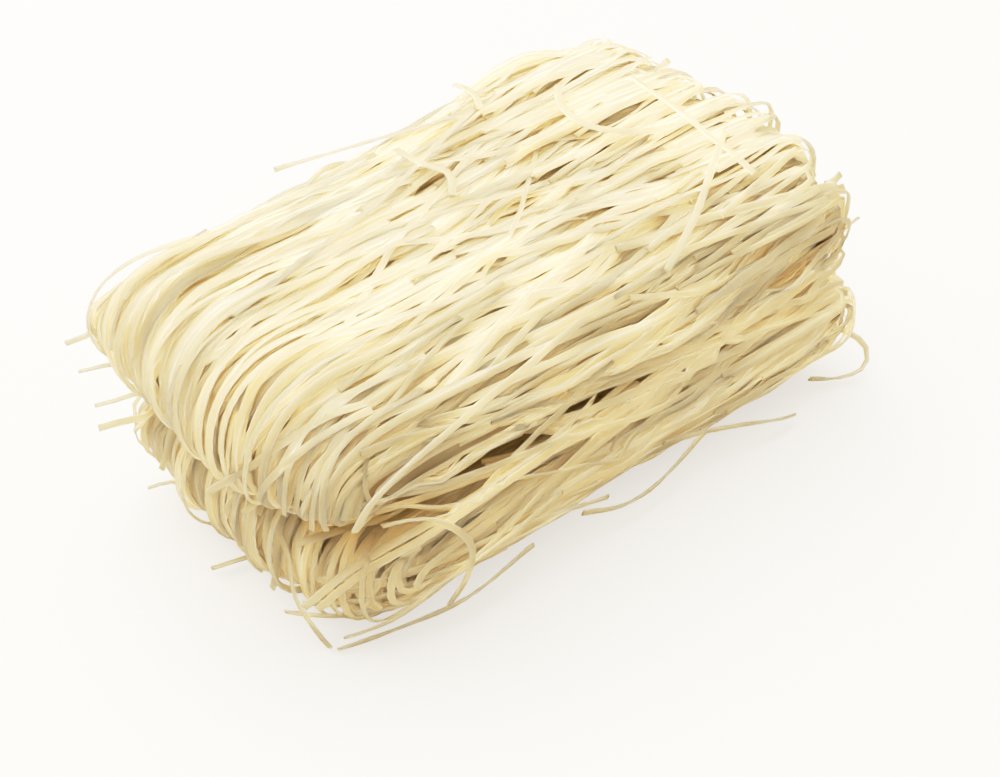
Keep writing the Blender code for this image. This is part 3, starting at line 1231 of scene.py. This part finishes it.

# %% [markdown]
# ## The sweep, in Geometry Nodes
#
# Every strand is the same flat section swept along its own path, so one small node tree makes them all.
# A curve object with a bevel could do it too, but its ribbon can't be turned to lie flat on what is below.
# Here each point carries its facing, and its width as a size. The tree also counts the section's corners
# and measures from its middle, because the flat layout and the highlight painted along the cut edges
# need to know where the cut edges are.

# %% Nodes for the section
def noodle_section(tree, width, thickness, rounding):
    """The flat section's curve, with how far round it and how far from its middle each corner is."""
    nodes, link = tree.nodes, tree.links.new
    section = nodes.new("GeometryNodeCurvePrimitiveQuadrilateral")
    rounded = nodes.new("GeometryNodeFilletCurve")
    rounded.mode = "POLY"
    rounded.inputs["Count"].default_value = 1
    link(thickness, section.inputs["Width"])
    link(width, section.inputs["Height"])
    link(section.outputs["Curve"], rounded.inputs["Curve"])
    link(rounding, rounded.inputs["Radius"])
    counted = nodes.new("GeometryNodeStoreNamedAttribute")
    counted.data_type = "INT"
    counted.inputs["Name"].default_value = "around"
    link(rounded.outputs["Curve"], counted.inputs["Geometry"])
    link(nodes.new("GeometryNodeInputIndex").outputs["Index"], counted.inputs["Value"])
    split = nodes.new("ShaderNodeSeparateXYZ")
    link(nodes.new("GeometryNodeInputPosition").outputs["Position"], split.inputs["Vector"])
    doubled = arithmetic(tree, "MULTIPLY", arithmetic(tree, "DIVIDE", split.outputs["Y"], width), 2)
    sided = nodes.new("GeometryNodeStoreNamedAttribute")
    sided.data_type = "FLOAT"
    sided.inputs["Name"].default_value = "across"
    link(counted.outputs["Geometry"], sided.inputs["Geometry"])
    link(doubled, sided.inputs["Value"])
    return sided.outputs["Geometry"]


# %% The sweep's node tree
def noodle_sweep():
    """A node tree that turns a mesh of bare edges into flat noodles, and its inputs' identifiers."""
    tree = bpy.data.node_groups.new("noodle_sweep", "GeometryNodeTree")
    add_socket = tree.interface.new_socket
    add_socket("Geometry", in_out="INPUT", socket_type="NodeSocketGeometry")
    sockets = {}
    for name, kind in (("Width", "Float"), ("Thickness", "Float"), ("Edge Rounding", "Float"),
                       ("Material", "Material")):
        sockets[name] = add_socket(name, in_out="INPUT", socket_type="NodeSocket" + kind).identifier
    add_socket("Geometry", in_out="OUTPUT", socket_type="NodeSocketGeometry")
    nodes, link = tree.nodes, tree.links.new
    given, result = nodes.new("NodeGroupInput"), nodes.new("NodeGroupOutput")

    def attribute(name, data_type):
        node = nodes.new("GeometryNodeInputNamedAttribute")
        node.data_type = data_type
        node.inputs["Name"].default_value = name
        return node.outputs["Attribute"]

    paths = nodes.new("GeometryNodeMeshToCurve")
    link(given.outputs["Geometry"], paths.inputs["Mesh"])
    turned = nodes.new("GeometryNodeSetCurveNormal")
    turned.mode = "FREE"
    link(paths.outputs["Curve"], turned.inputs["Curve"])
    link(attribute("facing", "FLOAT_VECTOR"), turned.inputs["Normal"])
    swept = nodes.new("GeometryNodeCurveToMesh")
    swept.inputs["Fill Caps"].default_value = True
    link(turned.outputs["Curve"], swept.inputs["Curve"])
    sizes = given.outputs["Width"], given.outputs["Thickness"], given.outputs["Edge Rounding"]
    link(noodle_section(tree, *sizes), swept.inputs["Profile Curve"])
    link(attribute("size", "FLOAT"), swept.inputs["Scale"])
    real = nodes.new("GeometryNodeRealizeInstances")
    link(swept.outputs["Mesh"], real.inputs["Geometry"])
    painted = nodes.new("GeometryNodeSetMaterial")
    link(real.outputs["Geometry"], painted.inputs["Geometry"])
    link(given.outputs["Material"], painted.inputs["Material"])
    link(painted.outputs["Geometry"], result.inputs["Geometry"])
    return tree, sockets


sweep_tree, sweep_sockets = noodle_sweep()
print("node tree", sweep_tree.name, "with", len(sweep_tree.nodes), "nodes")

# %% [markdown]
# ## Spines
#
# The sweep starts from spines: one mesh of points and bare edges for many strands, with each strand's
# facing, size and tone stored on its points as attributes. One object for each strand would be easier to
# follow in the outliner, but nearly two thousand objects are slow to make and to draw.

# %% Spines
def length_along(points):
    """How far along its strand each point is, in mm."""
    return np.concatenate([[0], np.cumsum(np.linalg.norm(np.diff(points, axis=0), axis=1))])


def spine_mesh(name, found):
    """Runs as one mesh of bare edges, with what the sweep and the finish need stored on its points."""
    counts = [len(run[0]) for run in found]
    strand = np.repeat(np.arange(len(found)), counts)
    stored = (
        ("facing", "FLOAT_VECTOR", np.concatenate([run[1] for run in found])),
        ("size", "FLOAT", np.repeat([run[2] / NOODLE_WIDTH for run in found], counts)),
        ("strand", "INT", strand),
        ("along", "FLOAT", np.concatenate([length_along(run[0]) for run in found])),
        ("tone", "FLOAT", np.random.default_rng(len(found)).uniform(0, 1, len(found))[strand]),
        # depth is the amber shade painted on a strand where it lies deep or in the groove.
        ("depth", "FLOAT", np.concatenate([run[3] for run in found])),
    )
    points = np.concatenate([run[0] for run in found]) * MM
    links = np.flatnonzero(np.diff(strand) == 0)
    mesh = bpy.data.meshes.new(name)
    mesh.vertices.add(len(points))
    mesh.vertices.foreach_set("co", points.astype(np.float32).ravel())
    mesh.edges.add(len(links))
    mesh.edges.foreach_set("vertices", np.stack([links, links + 1], axis=1).astype(np.int32).ravel())
    for label, kind, values in stored:
        layer = mesh.attributes.new(label, kind, "POINT")
        values = values.astype(np.int32 if kind == "INT" else np.float32)
        layer.data.foreach_set("vector" if kind == "FLOAT_VECTOR" else "value", values.ravel())
    return mesh


# %% [markdown]
# ## A flat layout for baking
#
# To bake the finish to an image, every face needs its own place on it. Smart UV Project would cut the
# strands into thousands of scraps. A strand unrolls into a straight strip, so the strips are laid end to
# end in rows instead.

# %% A flat layout for baking
STRIP_HEIGHT = 5.5
STRIP_GAP = 1.0


def values_of(mesh, name, kind=np.float32):
    """A mesh attribute's numbers as an array."""
    layer = mesh.attributes[name]
    found = np.empty(len(layer.data), kind)
    layer.data.foreach_get("value", found)
    return found


def strip_places(lengths):
    """Where each strip starts in its row, which row that is, and how long a row is."""
    row_length = max(lengths.max() + STRIP_GAP, np.sqrt(lengths.sum() * (STRIP_HEIGHT + STRIP_GAP)))
    first, row, cursor = np.zeros(len(lengths)), np.zeros(len(lengths)), 0.0
    for i, length in enumerate(lengths):
        if cursor + length > row_length:
            row[i:] += 1
            cursor = 0.0
        first[i] = cursor
        cursor += length + STRIP_GAP
    return first, row, row_length


def unroll(mesh, sides):
    """Lays each strand's skin out as a strip, on the UV map that finishes are baked to."""
    along, around = values_of(mesh, "along"), values_of(mesh, "around", np.int32)
    strand = values_of(mesh, "strand", np.int32)
    lengths = np.zeros(strand.max() + 1)
    np.maximum.at(lengths, strand, along)
    first, row, row_length = strip_places(lengths)
    corner = np.empty(len(mesh.loops), np.int32)
    mesh.loops.foreach_get("vertex_index", corner)
    starts = np.empty(len(mesh.polygons), np.int32)
    mesh.polygons.foreach_get("loop_start", starts)
    turn = around[corner].astype(float)
    face = np.repeat(np.arange(len(starts)), np.diff(np.append(starts, len(corner))))
    last_side = np.maximum.reduceat(turn, starts)[face] == sides - 1
    turn[last_side & (turn == 0)] = sides
    u = (first[strand[corner]] + along[corner]) / row_length
    v = (row[strand[corner]] * (STRIP_HEIGHT + STRIP_GAP) + turn / sides * STRIP_HEIGHT) / row_length
    layer = mesh.uv_layers.new(name="OFBake")
    layer.data.foreach_set("uv", (np.stack([u, v], axis=1) / max(1.0, v.max())).astype(np.float32).ravel())


# %% [markdown]
# ## From runs to a plain mesh
#
# The sweep is evaluated once and its result is kept as an ordinary mesh, so that nothing has to be worked
# out again when the scene is rendered or sent to another program. Strands seen from outside get rounded
# edges. Those that show only in the gaps keep square ones, which is half the faces.

# %% From runs to a plain mesh
def keep_above_floor(mesh):
    """Presses what reaches below the floor flat onto it."""
    points = np.empty(len(mesh.vertices) * 3, np.float32)
    mesh.vertices.foreach_get("co", points)
    points[2::3] = np.maximum(points[2::3], 0)
    mesh.vertices.foreach_set("co", points)


def swept_object(name, found, finish):
    """The runs as noodles: a plain mesh object at the origin."""
    spine = add_object(name + "_spine", spine_mesh(name + "_spine", found))
    sweep = spine.modifiers.new("sweep", "NODES")
    sweep.node_group = sweep_tree
    sweep[sweep_sockets["Width"]] = NOODLE_WIDTH * MM
    sweep[sweep_sockets["Thickness"]] = NOODLE_THICKNESS * MM
    sweep[sweep_sockets["Edge Rounding"]] = finish["rounding"] * MM
    sweep[sweep_sockets["Material"]] = finish["material"]
    graph = bpy.context.evaluated_depsgraph_get()
    mesh = bpy.data.meshes.new_from_object(spine.evaluated_get(graph))
    bpy.data.objects.remove(spine)
    mesh.name = name
    keep_above_floor(mesh)
    unroll(mesh, finish["sides"])
    piece = add_object(name, mesh)
    mesh.shade_smooth()
    mesh.set_sharp_from_angle(angle=np.radians(50))
    return piece


# %% [markdown]
# ## Dried starch
#
# A dried rice noodle is cloudy: light goes in and comes out again nearby, which softens the shade between
# strands. A Translucent shader would suit a single thin sheet. Subsurface scattering suits a thick pile,
# and its three radii are kept nearly equal, or the shade would turn blue. Every strand has a slightly
# different tone and faint streaks run along it. A highlight is painted along its cut edges, and amber
# shade is painted where it lies deep or in the groove between the pillows.

# %% Small helpers for the finish
def attribute(nodes, label):
    """A number stored on the strands."""
    node = nodes.new("ShaderNodeAttribute")
    node.attribute_name = label
    return node.outputs["Fac"]


def mixed(tree, factor, first, second):
    """Two colours mixed by a factor. Either may be a plain colour."""
    node = tree.nodes.new("ShaderNodeMix")
    node.data_type = "RGBA"
    tree.links.new(factor, node.inputs["Factor"])
    for socket, value in ((node.inputs["A"], first), (node.inputs["B"], second)):
        if isinstance(value, tuple):
            socket.default_value = (*value, 1)
        else:
            tree.links.new(value, socket)
    return node.outputs["Result"]


def streaks_along(tree):
    """Streaks that follow each strand, from 0 to 1."""
    nodes, link = tree.nodes, tree.links.new
    place = nodes.new("ShaderNodeCombineXYZ")
    for socket, label, scale in (("X", "along", 0.06), ("Y", "across", 4.0), ("Z", "strand", 3.7)):
        link(arithmetic(tree, "MULTIPLY", attribute(nodes, label), scale), place.inputs[socket])
    streaks = nodes.new("ShaderNodeTexNoise")
    streaks.inputs["Scale"].default_value = 1.0
    streaks.inputs["Detail"].default_value = 3.0
    link(place.outputs["Vector"], streaks.inputs["Vector"])
    return streaks.outputs["Fac"]


def edge_highlight_mask(tree):
    """Where a highlight is painted: 1 at a strand's two cut edges and 0 on its flat faces."""
    nodes, link = tree.nodes, tree.links.new
    highlight_ramp = nodes.new("ShaderNodeMapRange")
    highlight_ramp.interpolation_type = "SMOOTHSTEP"
    highlight_ramp.inputs["From Min"].default_value = 0.45
    highlight_ramp.inputs["From Max"].default_value = 0.95
    link(arithmetic(tree, "ABSOLUTE", attribute(nodes, "across")), highlight_ramp.inputs["Value"])
    return highlight_ramp.outputs["Result"]


# %% Dried starch
def noodle_material(name, face, edge_highlight, deep, pale, painted_amber_shade):
    """Cloudy starch: cream faces, a painted highlight along the cut edges, painted amber shade where a strand
    lies deep or in the groove, and a slightly different tone on every strand.
    """
    made = plain_material(name, face, 0.42)
    tree = made.node_tree
    nodes, link = tree.nodes, tree.links.new
    shader = nodes["Principled BSDF"]
    shader.subsurface_method = "BURLEY"
    shader.inputs["Subsurface Weight"].default_value = 1.0
    shader.inputs["Subsurface Radius"].default_value = (1.0, 0.97, 0.9)
    shader.inputs["Subsurface Scale"].default_value = 0.008
    shader.inputs["Specular IOR Level"].default_value = 0.35
    shader.inputs["IOR"].default_value = 1.45
    streaks = streaks_along(tree)
    tone = mixed(tree, attribute(nodes, "tone"), face, deep)
    streaked = mixed(tree, streaks, tone, pale)
    # Painted highlight: a paler colour along the cut edges.
    highlighted = mixed(tree, edge_highlight_mask(tree), streaked, edge_highlight)
    # Painted shade: amber where the strand lies deep or in the groove between the pillows.
    link(mixed(tree, attribute(nodes, "depth"), highlighted, painted_amber_shade), shader.inputs["Base Color"])
    dull = nodes.new("ShaderNodeMapRange")
    dull.inputs["To Min"].default_value = 0.30
    dull.inputs["To Max"].default_value = 0.56
    link(streaks, dull.inputs["Value"])
    link(dull.outputs["Result"], shader.inputs["Roughness"])
    ridges = nodes.new("ShaderNodeBump")
    ridges.inputs["Strength"].default_value = 0.5
    ridges.inputs["Distance"].default_value = 0.12 * MM
    link(streaks, ridges.inputs["Height"])
    link(ridges.outputs["Normal"], shader.inputs["Normal"])
    return made


# The edge colour is a painted highlight and the amber one is painted shade. The strands in the gaps lie in
# shade, so their painted highlight is weaker.
noodle = noodle_material(
    "dried_noodle", face=(0.89, 0.765, 0.48), edge_highlight=(0.95, 0.88, 0.70), deep=(0.875, 0.735, 0.435),
    pale=(0.905, 0.795, 0.535), painted_amber_shade=(0.80, 0.60, 0.23))
inner_noodle = noodle_material(
    "inner_noodle", face=(0.885, 0.77, 0.49), edge_highlight=(0.90, 0.80, 0.55), deep=(0.865, 0.74, 0.46),
    pale=(0.89, 0.785, 0.52), painted_amber_shade=(0.80, 0.60, 0.24))
print("two finishes for the strands")

# %% [markdown]
# ## The core
#
# Under the strands lies the pressed-together inside, which shows only at the bottom of the widest gaps.
# Strands all the way down would never be seen. The pile's early ground, drawn in a little, is one closed
# skin for each pillow, with streaks along the block pressed into it as relief. It is painted darker and
# more amber than the strands, as shade for the bottom of the gaps.

# %% The core's finish
def shaded_core_material():
    """The pressed-together inside: duller, painted darker and more amber as shade for the bottom of the gaps,
    with streaks along the block.
    """
    # Painted shade: these colours, and the ramp's below, are darker and more amber than the strands'.
    made = plain_material("core_noodle_painted_shade", (0.84, 0.69, 0.40), 0.55)
    tree = made.node_tree
    nodes, link = tree.nodes, tree.links.new
    place = nodes.new("ShaderNodeTexCoord")
    stretched = nodes.new("ShaderNodeMapping")
    stretched.inputs["Scale"].default_value = (25, 420, 420)
    link(place.outputs["Object"], stretched.inputs["Vector"])
    streaks = nodes.new("ShaderNodeTexNoise")
    streaks.inputs["Scale"].default_value = 1.0
    link(stretched.outputs["Vector"], streaks.inputs["Vector"])
    ramp = nodes.new("ShaderNodeValToRGB")
    stops = ((0.35, (0.80, 0.60, 0.29, 1)), (0.65, (0.86, 0.70, 0.40, 1)))
    for element, (position, colour) in zip(ramp.color_ramp.elements, stops):
        element.position = position
        element.color = colour
    link(streaks.outputs["Fac"], ramp.inputs["Fac"])
    shader = nodes["Principled BSDF"]
    link(ramp.outputs["Color"], shader.inputs["Base Color"])
    relief = nodes.new("ShaderNodeBump")
    relief.inputs["Distance"].default_value = 0.8 * MM
    link(streaks.outputs["Fac"], relief.inputs["Height"])
    link(relief.outputs["Normal"], shader.inputs["Normal"])
    return made


core_shaded_starch = shaded_core_material()
print("a finish for the core")


# %% The core
CORE_INSET = 0.4
CORE_ABOVE_FLOOR = 0.5


def core_of(pile, first):
    """A pillow's core as points and faces: its early ground, drawn in. Its points are numbered from first."""
    points = pile["fine_points"] + (pile["core"] - CORE_INSET)[..., None] * pile["fine_normals"]
    points = points[::2 * FINE, ::FINE]
    points[..., 2] = np.maximum(points[..., 2], CORE_ABOVE_FLOOR)
    columns, rows = points.shape[:2]
    number = first + np.arange(columns * rows).reshape(columns, rows)
    ahead = np.roll(number, -1, axis=0)
    faces = np.stack([number[:, :-1], number[:, 1:], ahead[:, 1:], ahead[:, :-1]], axis=-1).reshape(-1, 4)
    end_faces = [number[:, 0].tolist(), number[::-1, -1].tolist()]
    return (points.reshape(-1, 3) * MM).tolist(), faces.tolist() + end_faces


core_points, core_faces = [], []
for pile in (upper, lower):
    points, faces = core_of(pile, len(core_points))
    core_points += points
    core_faces += faces
core_mesh = bpy.data.meshes.new("noodle_core")
core_mesh.from_pydata(core_points, [], core_faces)
core_mesh.shade_smooth()
core_mesh.materials.append(core_shaded_starch)
core = add_object("noodle_core", core_mesh)
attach(core, "root")
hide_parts("noodle_block")
print("core:", len(core_faces), "faces")

# %% [markdown]
# ## Making the strands
#
# All strands of a kind could be one mesh, but very large meshes are awkward to edit and to export. Each
# kind is split into as few pieces as keep every piece under the most triangles that one may have.

# %% Making the strands
MOST_TRIANGLES = 197000
SEEN = dict(material=noodle, rounding=0.3, sides=8)
IN_THE_GAPS = dict(material=inner_noodle, rounding=0.0, sides=4)


def pieces(name, found, finish):
    """Makes the runs in as few pieces as the limit on a piece's triangles allows."""
    groups, size = [[]], 0
    for run in found:
        cost = 2 * finish["sides"] * (len(run[0]) - 1) + 2 * (finish["sides"] - 2)
        if size + cost > MOST_TRIANGLES:
            groups.append([])
            size = 0
        groups[-1].append(run)
        size += cost
    for i, group in enumerate(groups):
        piece = swept_object(f"{name}_{i + 1}", group, finish)
        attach(piece, "root")
        print(piece.name, len(group), "runs", len(piece.data.polygons), "faces")


for name, found, finish in (
    ("upper_strands", upper_runs[0], SEEN),
    ("lower_strands", lower_runs[0], SEEN),
    ("upper_inner_strands", upper_runs[1], IN_THE_GAPS),
    ("lower_inner_strands", lower_runs[1], IN_THE_GAPS),
    ("loose_strands", loose_runs, SEEN),
):
    pieces(name, found, finish)
